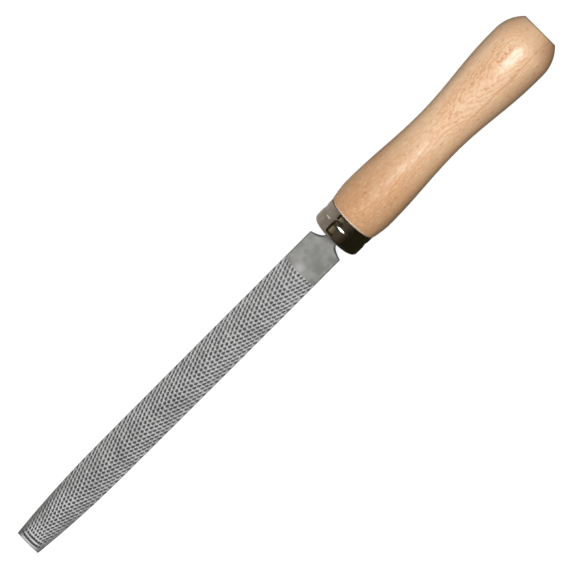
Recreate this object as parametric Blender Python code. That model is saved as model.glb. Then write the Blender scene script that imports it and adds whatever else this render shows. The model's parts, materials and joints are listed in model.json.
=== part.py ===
"""A half-round wood rasp: a toothed steel blade with its tang in a turned beech handle, and a steel ferrule."""

import math

import bmesh
import bpy
from mathutils import Vector

MM = 0.001

# Blade: lengths run from the shoulder, where the toothed bar steps down to the neck
BLADE_LENGTH = 200.0 * MM
HEEL_WIDTH = 17.8 * MM
BELLY_WIDTH = 18.5 * MM
TIP_WIDTH = 13.3 * MM
TIP_TAPER_LENGTH = 59.0 * MM
CROWN_RADIUS = 13.0 * MM
EDGE_THICKNESS = 1.5 * MM

# Teeth: staggered rows on the crowned face and on the flat face
HEEL_BLANK_LENGTH = 16.3 * MM
TIP_MARGIN = 0.8 * MM
ROW_PITCH = 2.12 * MM
TOOTH_PITCH = 1.9 * MM
TOOTH_HEIGHT = 0.45 * MM
TOOTH_LEAN = 0.3 * MM
ROW_STAGGER = 0.25

# Neck and tang
SHOULDER_RUN = 4.0 * MM
SHOULDER_STEPS = 5
NECK_LENGTH = 6.0 * MM
NECK_WIDTH = 6.2 * MM
TANG_DEPTH = 52.0 * MM
TANG_END_WIDTH = 3.2 * MM
TANG_END_THICKNESS = 2.4 * MM

# Ferrule: a drawn cup with a rolled groove
FERRULE_LENGTH = 11.1 * MM
FERRULE_DIAMETER = 23.7 * MM
FERRULE_WALL = 0.8 * MM
FERRULE_BEND_RADIUS = 1.2 * MM
FERRULE_MOUTH_DIAMETER = 14.0 * MM
GROOVE_POSITION = 7.2 * MM
GROOVE_WIDTH = 1.8 * MM
GROOVE_DEPTH = 0.35 * MM

# Handle: stations along the axis are measured from the ferrule's front
HANDLE_LENGTH = 120.7 * MM
COLLAR_DIAMETER = 24.0 * MM
COLLAR_CHAMFER = 0.5 * MM
FRONT_SWELL_POSITION = 21.0 * MM
FRONT_SWELL_DIAMETER = 26.2 * MM
WAIST_POSITION = 63.0 * MM
WAIST_DIAMETER = 22.2 * MM
PALM_SWELL_POSITION = 105.0 * MM
PALM_SWELL_DIAMETER = 27.5 * MM
BUTT_ROUND_RADIUS = 16.0 * MM
BUTT_FLAT_DIAMETER = 17.0 * MM

# Fits
FIT_GAP = 0.3 * MM
SOCKET_END_CLEARANCE = 2.0 * MM

# Facets
TURNED_SEGMENTS = 40
GROOVE_STEPS = 6
BEND_STEPS = 3
RISE_STEPS = 4
SWELL_STEPS = 8
BUTT_STEPS = 6
SMOOTH_ANGLE = math.radians(35.0)
MERGE_DISTANCE = 0.001 * MM

# Finishes: colour, roughness and metallic value of each piece
BLADE_FINISH = ((0.30, 0.30, 0.29, 1.0), 0.45, 0.9)
FERRULE_FINISH = ((0.42, 0.40, 0.37, 1.0), 0.2, 1.0)
HANDLE_FINISH = ((0.69, 0.43, 0.24, 1.0), 0.38, 0.0)


def clear_scene():
    """Remove what the start-up file holds."""
    for item in list(bpy.data.objects):
        bpy.data.objects.remove(item, do_unlink=True)


def principled(name, colour, roughness, metallic):
    """Return a plain material with one Principled shader."""
    material = bpy.data.materials.new(name)
    material.use_nodes = True
    shader = material.node_tree.nodes["Principled BSDF"]
    shader.inputs["Base Color"].default_value = colour
    shader.inputs["Roughness"].default_value = roughness
    shader.inputs["Metallic"].default_value = metallic
    return material


def add_piece(name, bm, material, parent):
    """Turn a bmesh into a named object under the tool's own frame."""
    mesh = bpy.data.meshes.new(name)
    bm.to_mesh(mesh)
    bm.free()
    piece = bpy.data.objects.new(name, mesh)
    piece.parent = parent
    bpy.context.scene.collection.objects.link(piece)
    if material is not None:
        mesh.materials.append(material)
    return piece


def crown_drop(y):
    """Return how far the crowned face falls at a distance y from the middle."""
    return CROWN_RADIUS - math.sqrt(CROWN_RADIUS ** 2 - y ** 2)


def blend(start, end, share):
    """Return the value a given share of the way from start to end."""
    return start + (end - start) * share


HEEL_THICKNESS = EDGE_THICKNESS + crown_drop(HEEL_WIDTH / 2)
TANG_END = NECK_LENGTH + TANG_DEPTH


def blade_width(x):
    """Return the full width at x: the tip is at minus the blade's length, the shoulder at 0."""
    distance = -x
    belly_length = BLADE_LENGTH - TIP_TAPER_LENGTH
    if distance <= belly_length:
        swell = math.sin(math.pi / 2 * distance / belly_length)
        return blend(HEEL_WIDTH, BELLY_WIDTH, swell)
    taper = (distance - belly_length) / TIP_TAPER_LENGTH
    return blend(BELLY_WIDTH, TIP_WIDTH, taper ** 2)


def tang_share(x):
    """Return how far x lies along the tang, from 0 at the end of the shoulders to 1 at its point."""
    return (x - SHOULDER_RUN) / (TANG_END - SHOULDER_RUN)


def bar_width(x):
    """Return the full width of the blade, the shoulders or the tang at x."""
    if x <= 0:
        return blade_width(x)
    if x < SHOULDER_RUN:
        hollow = math.sqrt(1 - (1 - x / SHOULDER_RUN) ** 2)
        return blend(HEEL_WIDTH, NECK_WIDTH, hollow)
    return blend(NECK_WIDTH, TANG_END_WIDTH, tang_share(x))


def bar_heights(x):
    """Return the heights of the underside and of the crown's middle at x, about the tool's axis."""
    half = HEEL_THICKNESS / 2
    if x <= 0:
        return -half, -half + EDGE_THICKNESS + crown_drop(bar_width(x) / 2)
    if x <= SHOULDER_RUN:
        return -half, half
    half = blend(half, TANG_END_THICKNESS / 2, tang_share(x))
    return -half, half


def bar_stations():
    """Return the places of the cross sections from tip to tang, and how many of them are tooth rows."""
    first_row = -BLADE_LENGTH + TIP_MARGIN
    row_count = int((-HEEL_BLANK_LENGTH - first_row) / ROW_PITCH) + 1
    rows = [-HEEL_BLANK_LENGTH - ROW_PITCH * (row_count - 1 - i) for i in range(row_count)]
    quarter = math.pi / 2 / SHOULDER_STEPS
    shoulders = [SHOULDER_RUN * (1 - math.cos(quarter * i)) for i in range(SHOULDER_STEPS + 1)]
    return [-BLADE_LENGTH] + rows + shoulders + [TANG_END], row_count


def shape_face(bm, stations, row_count, columns, crowned):
    """Make one long face of the bar from a grid, with every second tooth row moved sideways."""
    lengthwise = len(stations) - 1
    grid = bmesh.ops.create_grid(bm, x_segments=lengthwise, y_segments=columns, size=0.5)
    row_layer = bm.verts.layers.int["row"]
    column_layer = bm.verts.layers.int["column"]
    for vert in grid["verts"]:
        row = round((vert.co.x + 0.5) * lengthwise)
        column = round((vert.co.y + 0.5) * columns)
        x = stations[row]
        half_width = bar_width(x) / 2
        place = column
        if 1 <= row <= row_count and 0 < column < columns:
            place += ROW_STAGGER if row % 2 else -ROW_STAGGER
        across = 2 * place / columns - 1
        bottom, crown = bar_heights(x)
        if crowned:
            y = CROWN_RADIUS * math.sin(across * math.asin(half_width / CROWN_RADIUS))
            z = crown - crown_drop(y)
        else:
            y = across * half_width
            z = bottom
        vert.co = Vector((x, y, z))
        vert[row_layer] = row
        vert[column_layer] = column


def raise_teeth(bm, row_count, columns):
    """Split the toothed stretch into triangles and raise each one that has its wide side towards the tip."""
    row_layer = bm.verts.layers.int["row"]
    column_layer = bm.verts.layers.int["column"]

    def is_toothed(face):
        rows = [vert[row_layer] for vert in face.verts]
        inner = [vert for vert in face.verts if 0 < vert[column_layer] < columns]
        return min(rows) >= 1 and max(rows) <= row_count and max(rows) > min(rows) and len(inner) > 0

    stretch = [face for face in bm.faces if is_toothed(face)]
    split = bmesh.ops.triangulate(bm, faces=stretch, quad_method="SHORT_EDGE")
    teeth = []
    for face in split["faces"]:
        rows = [vert[row_layer] for vert in face.verts]
        on_edge = [vert for vert in face.verts if vert[column_layer] in (0, columns)]
        if rows.count(min(rows)) == 2 and not on_edge:
            teeth.append(face)
    raised = bmesh.ops.poke(bm, faces=teeth, offset=TOOTH_HEIGHT)
    bmesh.ops.translate(bm, verts=raised["verts"], vec=(-TOOTH_LEAN, 0.0, 0.0))
    return len(teeth)


def make_blade(material, parent):
    """Make the bar, its shoulders and tang from a crowned and a flat face joined along their edges."""
    stations, row_count = bar_stations()
    arc_length = 2 * CROWN_RADIUS * math.asin(BELLY_WIDTH / 2 / CROWN_RADIUS)
    columns = round(arc_length / TOOTH_PITCH)
    bm = bmesh.new()
    bm.verts.layers.int.new("row")
    bm.verts.layers.int.new("column")
    shape_face(bm, stations, row_count, columns, crowned=True)
    shape_face(bm, stations, row_count, columns, crowned=False)
    rims = [edge for edge in bm.edges if edge.is_boundary]
    bmesh.ops.bridge_loops(bm, edges=rims)
    bmesh.ops.recalc_face_normals(bm, faces=bm.faces)
    tooth_count = raise_teeth(bm, row_count, columns)
    print("rasp_blade:", row_count, "tooth rows,", tooth_count, "teeth")
    return add_piece("rasp_blade", bm, material, parent)


def drum_outline(inset):
    """Return the cup's outline from its front bend to its rear rim, moved inwards by inset."""
    radius = FERRULE_DIAMETER / 2 - inset
    outer_bend = FERRULE_BEND_RADIUS + FERRULE_WALL
    bend = outer_bend - inset
    points = []
    for i in range(BEND_STEPS + 1):
        angle = math.pi / 2 * i / BEND_STEPS
        x = outer_bend - bend * math.cos(angle)
        points.append((x, radius - bend + bend * math.sin(angle)))
    for i in range(GROOVE_STEPS + 1):
        share = i / GROOVE_STEPS
        dip = GROOVE_DEPTH * (1 - math.cos(2 * math.pi * share)) / 2
        points.append((GROOVE_POSITION + GROOVE_WIDTH * (share - 0.5), radius - dip))
    points.append((FERRULE_LENGTH, radius))
    return points


def handle_outline():
    """Return the turned wood's outline from the spigot's front to the flat of the butt."""
    spigot = drum_outline(FERRULE_WALL + FIT_GAP)
    collar = FERRULE_LENGTH + FIT_GAP
    points = spigot[:-1] + [(collar, spigot[-1][1])]
    points.append((collar, COLLAR_DIAMETER / 2 - COLLAR_CHAMFER))
    rise_start = collar + COLLAR_CHAMFER
    for i in range(RISE_STEPS):
        share = i / RISE_STEPS
        radius = blend(COLLAR_DIAMETER, FRONT_SWELL_DIAMETER, math.sin(math.pi / 2 * share)) / 2
        points.append((blend(rise_start, FRONT_SWELL_POSITION, share), radius))
    hollows = (
        (FRONT_SWELL_POSITION, FRONT_SWELL_DIAMETER, WAIST_POSITION, WAIST_DIAMETER),
        (WAIST_POSITION, WAIST_DIAMETER, PALM_SWELL_POSITION, PALM_SWELL_DIAMETER),
    )
    for start, start_diameter, end, end_diameter in hollows:
        for i in range(SWELL_STEPS):
            share = i / SWELL_STEPS
            wave = (1 - math.cos(math.pi * share)) / 2
            points.append((blend(start, end, share), blend(start_diameter, end_diameter, wave) / 2))
    points.append((PALM_SWELL_POSITION, PALM_SWELL_DIAMETER / 2))
    fall = (PALM_SWELL_DIAMETER - BUTT_FLAT_DIAMETER) / 2
    turn = math.acos(1 - fall / BUTT_ROUND_RADIUS)
    centre = HANDLE_LENGTH - BUTT_ROUND_RADIUS * math.sin(turn)
    for i in range(BUTT_STEPS + 1):
        angle = turn * i / BUTT_STEPS
        x = centre + BUTT_ROUND_RADIUS * math.sin(angle)
        points.append((x, PALM_SWELL_DIAMETER / 2 - BUTT_ROUND_RADIUS * (1 - math.cos(angle))))
    return points


def turned_mesh(outline, closed):
    """Spin an outline of (distance from the ferrule's front, radius) points about the tool's axis."""
    bm = bmesh.new()
    verts = [bm.verts.new((NECK_LENGTH + x, 0.0, radius)) for x, radius in outline]
    pairs = list(zip(verts, verts[1:]))
    if closed:
        pairs.append((verts[-1], verts[0]))
    edges = [bm.edges.new(pair) for pair in pairs]
    bmesh.ops.spin(
        bm,
        geom=verts + edges,
        cent=(0.0, 0.0, 0.0),
        axis=(1.0, 0.0, 0.0),
        angle=2 * math.pi,
        steps=TURNED_SEGMENTS,
        use_merge=True,
    )
    bmesh.ops.remove_doubles(bm, verts=bm.verts, dist=MERGE_DISTANCE)
    bmesh.ops.recalc_face_normals(bm, faces=bm.faces)
    return bm


def shade_turned(piece):
    """Shade a turned piece smooth, with its corners kept crisp."""
    piece.data.shade_smooth()
    piece.data.set_sharp_from_angle(angle=SMOOTH_ANGLE)


def make_ferrule(material, parent):
    """Make the drawn cup: an outer skin, a front lip with a mouth, and an inner skin one wall inside."""
    mouth = FERRULE_MOUTH_DIAMETER / 2
    outer = [(0.0, mouth)] + drum_outline(0.0)
    inner = drum_outline(FERRULE_WALL)[::-1] + [(FERRULE_WALL, mouth)]
    ferrule = add_piece("ferrule", turned_mesh(outer + inner, closed=True), material, parent)
    shade_turned(ferrule)
    return ferrule


def make_socket_cutter(parent):
    """Make the tapered socket's cutter: the tang's own taper, one gap larger all round and longer."""
    start = NECK_LENGTH
    end = TANG_END + SOCKET_END_CLEARANCE
    bm = bmesh.new()
    cube = bmesh.ops.create_cube(bm, size=2.0)
    for vert in cube["verts"]:
        x = start if vert.co.x < 0 else end
        share = tang_share(min(x, TANG_END))
        half_width = blend(NECK_WIDTH, TANG_END_WIDTH, share) / 2 + FIT_GAP
        half_height = blend(HEEL_THICKNESS, TANG_END_THICKNESS, share) / 2 + FIT_GAP
        vert.co = Vector((x, vert.co.y * half_width, vert.co.z * half_height))
    cutter = add_piece("socket_cutter", bm, None, parent)
    cutter.hide_render = True
    cutter.display_type = "WIRE"
    return cutter


def make_handle(material, parent):
    """Make the turned wood with the tang's socket cut into its front."""
    outline = handle_outline()
    axis_points = [(outline[0][0], 0.0)] + outline + [(HANDLE_LENGTH, 0.0)]
    handle = add_piece("handle", turned_mesh(axis_points, closed=False), material, parent)
    socket = handle.modifiers.new("tang_socket", "BOOLEAN")
    socket.operation = "DIFFERENCE"
    socket.solver = "EXACT"
    socket.object = make_socket_cutter(parent)
    shade_turned(handle)
    return handle


def lying_angle():
    """Return the tilt at which the foremost teeth and a swell of the handle both touch a flat bench."""
    stations, _ = bar_stations()
    first_row, second_row = stations[1:3]
    tooth_x = (2 * first_row + second_row) / 3 - TOOTH_LEAN
    tooth_drop = HEEL_THICKNESS / 2 + TOOTH_HEIGHT
    reaches = [(NECK_LENGTH + x - tooth_x, radius - tooth_drop) for x, radius in handle_outline()]
    return max(math.atan2(drop, reach) for reach, drop in reaches)


def lay_on_bench(tool, pieces):
    """Turn the tool to its lying tilt, its lowest points at height 0 and its box centred on the origin."""
    tool.rotation_euler = (0.0, -lying_angle(), 0.0)
    bpy.context.view_layer.update()
    places = [piece.matrix_world @ vert.co for piece in pieces for vert in piece.data.vertices]
    lengthwise = [place.x for place in places]
    tool.location = (-(min(lengthwise) + max(lengthwise)) / 2, 0.0, -min(place.z for place in places))
    bpy.context.view_layer.update()


def main():
    """Build the rasp."""
    clear_scene()
    tool = bpy.data.objects.new("tool_axis", None)
    bpy.context.scene.collection.objects.link(tool)
    steel = principled("hardened_steel", *BLADE_FINISH)
    plated = principled("drawn_steel", *FERRULE_FINISH)
    beech = principled("lacquered_beech", *HANDLE_FINISH)
    blade = make_blade(steel, tool)
    ferrule = make_ferrule(plated, tool)
    handle = make_handle(beech, tool)
    lay_on_bench(tool, [blade, ferrule, handle])
    print("lying tilt:", round(math.degrees(lying_angle()), 3), "degrees")


main()
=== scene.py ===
# %% [markdown]
# A half-round wood rasp on a white sheet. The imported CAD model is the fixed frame: it says where the
# blade, the ferrule and the handle are. Everything below gives those three pieces their real surface,
# without moving or resizing them: punched teeth, a rolled and polished ferrule, and lacquered beech.

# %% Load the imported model
import json
import math
import random

import bmesh
import bpy
from mathutils import Matrix, Vector


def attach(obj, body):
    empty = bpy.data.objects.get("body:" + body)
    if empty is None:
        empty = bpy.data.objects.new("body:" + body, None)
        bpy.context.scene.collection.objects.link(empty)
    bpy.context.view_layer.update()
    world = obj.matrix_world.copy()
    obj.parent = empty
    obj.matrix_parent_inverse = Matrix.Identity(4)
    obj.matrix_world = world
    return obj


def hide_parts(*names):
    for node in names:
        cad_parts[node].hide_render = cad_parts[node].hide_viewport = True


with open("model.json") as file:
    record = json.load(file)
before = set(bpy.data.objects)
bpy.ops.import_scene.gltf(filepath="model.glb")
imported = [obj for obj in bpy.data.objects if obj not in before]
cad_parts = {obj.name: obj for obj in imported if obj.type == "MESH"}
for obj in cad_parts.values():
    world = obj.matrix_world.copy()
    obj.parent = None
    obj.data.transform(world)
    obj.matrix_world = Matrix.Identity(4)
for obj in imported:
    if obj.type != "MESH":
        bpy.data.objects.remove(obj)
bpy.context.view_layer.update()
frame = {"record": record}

MM = 0.001

# %% [markdown]
# The tool lies on the bench with its tip and the front of its handle touching, so its axis is tilted by a
# few degrees. All pieces are turned or punched about that axis, so they are easiest to make in the tool's
# own frame: x runs from the tip to the butt with 0 at the blade's shoulder, and z points out of the
# crowned face. The record's two flat mounts, on the butt and under the heel, give that frame exactly.

# %% The tool's own frame
NECK_LENGTH = 6.0 * MM
HANDLE_LENGTH = 120.7 * MM
mounts = {mount["name"]: mount for mount in frame["record"]["mounts"]}
along = Vector(mounts["butt_flat"]["axis"]).normalized()
upward = -Vector(mounts["heel_flat"]["axis"]).normalized()
sideways = upward.cross(along)
shoulder = Vector(mounts["butt_flat"]["pos_m"]) - along * (NECK_LENGTH + HANDLE_LENGTH)
TOOL = Matrix((along, sideways, upward)).transposed().to_4x4()
TOOL.translation = shoulder
print("lying tilt:", round(math.degrees(math.asin(along.z)), 2), "degrees; shoulder at", tuple(shoulder))

# %% [markdown]
# The camera stands above the tool, a little towards the handle, so the butt comes nearer than the tip.
# How far it leans and stands away can be read off the picture: the rims of the ferrule show how steeply
# they are seen, and the tooth rows close up towards the tip at a rate that gives the distance. The
# picture is square, and the camera is rolled so that the tool runs from the lower left to the upper right
# corner.

# %% Camera
IMAGE_SIZE = 570
FOCAL_PIXELS = 1400.0
SENSOR_WIDTH = 36.0
CAMERA_LEAN = math.radians(14.6)
CAMERA_ROLL = math.radians(45.0)
CAMERA_DISTANCE = 606.3 * MM
AIM_POINT = Vector((-24.47 * MM, 0.26 * MM, 0.0))


def camera_matrix():
    """Return the camera's place: leaning towards the handle, rolled about the line of sight."""
    back = along * math.sin(CAMERA_LEAN) + upward * math.cos(CAMERA_LEAN)
    axis_in_view = along * math.cos(CAMERA_LEAN) - upward * math.sin(CAMERA_LEAN)
    right = axis_in_view * math.cos(CAMERA_ROLL) - sideways * math.sin(CAMERA_ROLL)
    top = axis_in_view * math.sin(CAMERA_ROLL) + sideways * math.cos(CAMERA_ROLL)
    place = Matrix((right, top, back)).transposed().to_4x4()
    place.translation = TOOL @ AIM_POINT + back * CAMERA_DISTANCE
    return place


camera_data = bpy.data.cameras.new("camera")
camera_data.sensor_width = SENSOR_WIDTH
camera_data.lens = SENSOR_WIDTH * FOCAL_PIXELS / IMAGE_SIZE
camera = bpy.data.objects.new("camera", camera_data)
camera.matrix_world = camera_matrix()
bpy.context.scene.collection.objects.link(camera)
bpy.context.scene.camera = camera
bpy.context.scene.view_settings.view_transform = "Standard"
print("lens:", round(camera_data.lens, 1), "mm, distance:", CAMERA_DISTANCE, "m")

# %% [markdown]
# Adding a shader node, setting it up and connecting its inputs takes many lines in Blender, so a few
# helpers do it in one. A ramp blends smoothly between two places, from 0 to 1 or, where four numbers are
# given, between the last two. A tint mixes two colours by a share, and paint lays one colour over another
# where a mask lets it through, as a stain does. The Mix node has sockets for every kind of value, so its
# colour sockets are found by their numbers.


# %% Helpers for shader nodes
def fill(tree, socket, value):
    """Connect a socket to another node's output, or set it to a plain value."""
    if isinstance(value, bpy.types.NodeSocket):
        tree.links.new(value, socket)
    else:
        socket.default_value = value


def wire(tree, kind, inputs=None, **settings):
    """Add one shader node, set it up, and connect or fill its inputs."""
    added = tree.nodes.new("ShaderNode" + kind)
    for name, value in settings.items():
        setattr(added, name, value)
    for key, value in (inputs or {}).items():
        fill(tree, added.inputs[key], value)
    return added


def maths(tree, operation, first, second=0.0):
    """Add a Math node and return its result."""
    return wire(tree, "Math", {0: first, 1: second}, operation=operation).outputs[0]


def both(tree, first, second):
    """Return the product of two masks, which is strong where both are."""
    return maths(tree, "MULTIPLY", first, second)


def ramp(tree, value, low, high, out_low=0.0, out_high=1.0):
    """Blend smoothly from out_low to out_high as the value goes from low to high."""
    inputs = {"Value": value, "From Min": low, "From Max": high, "To Min": out_low, "To Max": out_high}
    return wire(tree, "MapRange", inputs, interpolation_type="SMOOTHSTEP").outputs["Result"]


MIX_SHARE, MIX_FIRST, MIX_SECOND, MIX_RESULT = 0, 6, 7, 2


def tint(tree, share, first, second):
    """Mix two colours by a share."""
    mixer = wire(tree, "Mix", data_type="RGBA")
    for number, value in ((MIX_SHARE, share), (MIX_FIRST, first), (MIX_SECOND, second)):
        fill(tree, mixer.inputs[number], (*value, 1.0) if isinstance(value, tuple) else value)
    return mixer.outputs[MIX_RESULT]


def paint(tree, tone, colour, mask, strength=1.0):
    """Lay a colour over a tone where a mask lets it through."""
    return tint(tree, both(tree, mask, strength), tone, colour)


BUMP_DEPTH = 0.05 * MM


def rough_height(tree, height, strength):
    """Return the normal of a surface that a fine pattern makes rough."""
    inputs = {"Height": height, "Strength": strength, "Distance": BUMP_DEPTH}
    return wire(tree, "Bump", inputs).outputs["Normal"]


print("node helpers:", [helper.__name__ for helper in (fill, wire, maths, both, ramp, tint, paint)])

# %% [markdown]
# Every material's pattern sits in the tool's own frame: a Mapping node of the Texture kind undoes the
# tool's place, so that x follows the grain of the handle however the tool lies. Every piece is a bmesh
# made in that frame and then moved, as a mesh, to where the tool lies, so the object itself stays unmoved
# at the origin.


# %% Helpers for materials and pieces
def new_material(name):
    """Start a material and return it with its node tree and its Principled shader."""
    material = bpy.data.materials.new(name)
    material.use_nodes = True
    return material, material.node_tree, material.node_tree.nodes["Principled BSDF"]


def dress(tree, shader, looks):
    """Fill sockets of the shader with plain values or with what other nodes work out."""
    for name, value in looks.items():
        fill(tree, shader.inputs[name], value)


def tool_place(tree):
    """Return the surface point in the tool's own frame."""
    point = wire(tree, "TexCoord").outputs["Object"]
    inputs = {"Vector": point, "Location": shoulder, "Rotation": TOOL.to_euler()}
    return wire(tree, "Mapping", inputs, vector_type="TEXTURE").outputs["Vector"]


def split_axes(tree, point):
    """Return the three coordinates of a point."""
    return wire(tree, "SeparateXYZ", {0: point}).outputs


def add_object(name, bm):
    """Turn a finished bmesh into an object of the scene."""
    mesh = bpy.data.meshes.new(name)
    bm.to_mesh(mesh)
    bm.free()
    added = bpy.data.objects.new(name, mesh)
    bpy.context.scene.collection.objects.link(added)
    return added


def add_piece(name, bm, node):
    """Put a bmesh made in the tool's frame into the scene, in place of a CAD node."""
    bmesh.ops.transform(bm, matrix=TOOL, verts=bm.verts)
    piece = add_object(name, bm)
    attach(piece, "root")
    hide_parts(node)
    print(name, "has", len(piece.data.polygons), "faces")
    return piece


def round_edges(bm, edges, size, steps=2):
    """Give edges a round bevel."""
    bmesh.ops.bevel(bm, geom=edges, offset=size, segments=steps, profile=0.5, affect="EDGES", material=-1)


def shade(piece, crease_degrees):
    """Shade smooth, with edges sharper than the crease angle kept crisp."""
    piece.data.shade_smooth()
    piece.data.set_sharp_from_angle(angle=math.radians(crease_degrees))


print("pieces are moved by:", [tuple(round(value, 4) for value in row) for row in TOOL])

# %% [markdown]
# The blade is a bar of hardened steel, crowned on one side and flat on the other. Its outline is a
# shallow belly that draws in towards a square-cut tip, a smooth heel, and two hollow shoulders that run
# into the neck. It could be extruded and tapered, but the teeth need rows and columns that follow the
# outline, so both faces are grids that are pulled into shape by these few rules. The shoulders follow a
# power curve, steep at the heel's corner and flat at the neck, as a grinding wheel leaves them.

# %% Outline of the blade
BLADE_LENGTH = 200.0 * MM
HEEL_WIDTH = 17.8 * MM
BELLY_WIDTH = 18.5 * MM
TIP_WIDTH = 13.3 * MM
TIP_TAPER_LENGTH = 59.0 * MM
BELLY_LENGTH = BLADE_LENGTH - TIP_TAPER_LENGTH
CROWN_RADIUS = 13.0 * MM
EDGE_THICKNESS = 1.5 * MM
SHOULDER_RUN = 4.0 * MM
SHOULDER_HOLLOW = 2.2
NECK_WIDTH = 6.2 * MM
TANG_END = NECK_LENGTH + 52.0 * MM
TANG_END_WIDTH = 3.2 * MM
TANG_END_THICKNESS = 2.4 * MM


def blend(start, end, share):
    """Return the value a given share of the way from start to end."""
    return start + (end - start) * share


def crown_drop(y):
    """Return how far the crowned face falls at a distance y from its middle."""
    return CROWN_RADIUS - math.sqrt(CROWN_RADIUS ** 2 - y ** 2)


def tang_share(x):
    """Return how far x lies along the tang."""
    return (x - SHOULDER_RUN) / (TANG_END - SHOULDER_RUN)


def bar_width(x):
    """Return the full width of the blade, its shoulders or its tang at x."""
    if x <= -BELLY_LENGTH:
        return blend(BELLY_WIDTH, TIP_WIDTH, ((-x - BELLY_LENGTH) / TIP_TAPER_LENGTH) ** 2)
    if x <= 0:
        return blend(HEEL_WIDTH, BELLY_WIDTH, math.sin(math.pi / 2 * -x / BELLY_LENGTH))
    if x < SHOULDER_RUN:
        return blend(HEEL_WIDTH, NECK_WIDTH, 1 - (1 - x / SHOULDER_RUN) ** SHOULDER_HOLLOW)
    return blend(NECK_WIDTH, TANG_END_WIDTH, tang_share(x))


HEEL_THICKNESS = EDGE_THICKNESS + crown_drop(HEEL_WIDTH / 2)


def bar_heights(x):
    """Return the heights of the underside and of the crown's middle at x."""
    half = HEEL_THICKNESS / 2
    if x <= 0:
        return -half, -half + EDGE_THICKNESS + crown_drop(bar_width(x) / 2)
    if x > SHOULDER_RUN:
        half = blend(half, TANG_END_THICKNESS / 2, tang_share(x))
    return -half, half


print("heel:", round(HEEL_WIDTH / MM, 1), "x", round(HEEL_THICKNESS / MM, 2), "mm")

# %% [markdown]
# A rasp tooth is struck with a pointed punch that comes in from the tip: it ploughs a pit and throws up a
# burr on the handle's side. A bump map would stay flat at the edges and in the exported mesh, so each
# tooth is real shape: a cell of six by six faces. Its two halves mirror each other, so a table needs only
# one: first the heights along the tooth's middle, then those of each step outwards, in millimetres. Teeth
# on the flanks are longer and slant outwards, which makes the diagonal lines that a rasp shows. The first
# two rows at the tip run together into bars.

# %% The punched tooth
ROW_PITCH = 2.12 * MM
ROW_COUNT = 86
LAST_ROW = -15.6 * MM
FIRST_ROW = LAST_ROW - ROW_PITCH * ROW_COUNT
TEETH_ACROSS = 11
CELL_STEPS = 6
HALF_CELL = CELL_STEPS // 2
PUNCH_LINES = (0.0, 0.08, 0.28, 0.55, 0.72, 0.88)
CENTRE_TOOTH = ((0.0, -0.18, -0.48, -0.51, -0.42, -0.05),
                (0.0, -0.03, -0.30, -0.34, -0.16, 0.05),
                (0.0, 0.01, -0.06, -0.07, 0.03, 0.07),
                (0.0, 0.00, 0.00, 0.00, 0.00, 0.00))
FLANK_TOOTH = ((0.0, -0.34, -0.52, -0.54, -0.50, -0.34),
               (0.0, -0.10, -0.24, -0.26, -0.20, -0.08),
               (0.0, 0.04, 0.00, 0.00, 0.06, 0.10),
               (0.0, 0.00, 0.00, 0.00, 0.00, 0.00))
END_TOOTH = ((0.0, -0.40, -0.50, -0.50, 0.10, 0.16),
             (0.0, -0.40, -0.45, -0.38, 0.08, 0.12),
             (0.0, -0.30, -0.32, -0.20, 0.06, 0.05),
             (0.0, -0.10, -0.12, -0.04, 0.00, 0.00))
CELL_SPREAD = (1.0, 1.0, 0.55, 0.0)
FLANK_SLANT = 0.48
SLANT_PIVOT = 0.35


def tooth_shape(line, offset, flank, joined, variation):
    """Return height, shift along and shift across for one point of a tooth's cell."""
    if line == 0:
        return 0.0, 0.0, 0.0
    step = abs(offset)
    depth, stray_along, stray_across = variation
    middle = END_TOOTH if joined else CENTRE_TOOTH
    height = blend(middle[step][line], FLANK_TOOTH[step][line], abs(flank)) * depth * MM
    slant = FLANK_SLANT * flank * (PUNCH_LINES[line] - SLANT_PIVOT) * ROW_PITCH
    spread = CELL_SPREAD[step]
    return height, stray_along * spread, (stray_across + slant) * spread


print("one tooth:", CELL_STEPS * len(PUNCH_LINES), "faces")

# %% [markdown]
# The teeth stand in rows, and every second row is moved by half a pitch, so the next row cuts what the
# last one leaves. No two teeth are the same: some are struck deeper, and whole rows stray a little. The
# first rows stand upright before the flanks begin to slant, and the last rows before the heel are struck
# more gently. Use has worn the tip: its teeth are nearly gone along both edges. The sheen is a small
# height kept for the material: a painted highlight that makes a burr bright against the plain skin of
# the heel. It is painted stronger on the flanks, where shade falls, less on the +y flank than on the -y
# flank, strongest in the middle of the tip and faint along the tip's edges.

# %% How the teeth differ
ROW_STRAY = 0.08 * MM
TOOTH_STRAY = 0.10 * MM
DEPTH_RANGE = (0.65, 1.15)
HEEL_ROWS = 36
HEEL_EASE = 0.25
JOINED_ROWS = 2
JOINED_SHARE = 0.62
UPRIGHT_ROWS = 6
CREST_SHIFT = 0.04
CREST_WIDTH = 0.32
# The sheens are a painted highlight on the burrs: more on the flanks, less on the +y flank than the -y.
MIDDLE_SHEEN = 0.22
FLANK_SHEEN = 0.275
FAR_FLANK_SHEEN = 0.235
TIP_WEAR_AND_LIGHT_START = -150.0 * MM
TIP_WEAR_AND_LIGHT_LENGTH = 45.0 * MM
# The painted highlight grows in the middle of the tip and fades along its edges.
TIP_GLEAM = 0.66
TIP_EDGE_LOSS = 1.60
TIP_DEPTH_GAIN = 0.22
WORN_EDGE_START = 0.70
WORN_EDGE_RUN = 0.12
dice = random.Random(7)
row_strays = [dice.gauss(0, ROW_STRAY) for row in range(ROW_COUNT)]


def clamp(value):
    """Keep a value between 0 and 1."""
    return min(1.0, max(0.0, value))


def tooth_variation(row):
    """Return how deep one tooth is struck and how far it strays along and across."""
    ease = HEEL_EASE * max(0.0, 1 - (ROW_COUNT - row) / HEEL_ROWS)
    depth = dice.uniform(*DEPTH_RANGE) * (1 - ease)
    return depth, row_strays[row] + dice.gauss(0, TOOTH_STRAY), dice.gauss(0, TOOTH_STRAY)


def flank_share(across):
    """Return 0 in the middle of the crown, rising to 1 or -1 on its flanks."""
    return math.tanh((across + CREST_SHIFT) / CREST_WIDTH)


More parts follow.
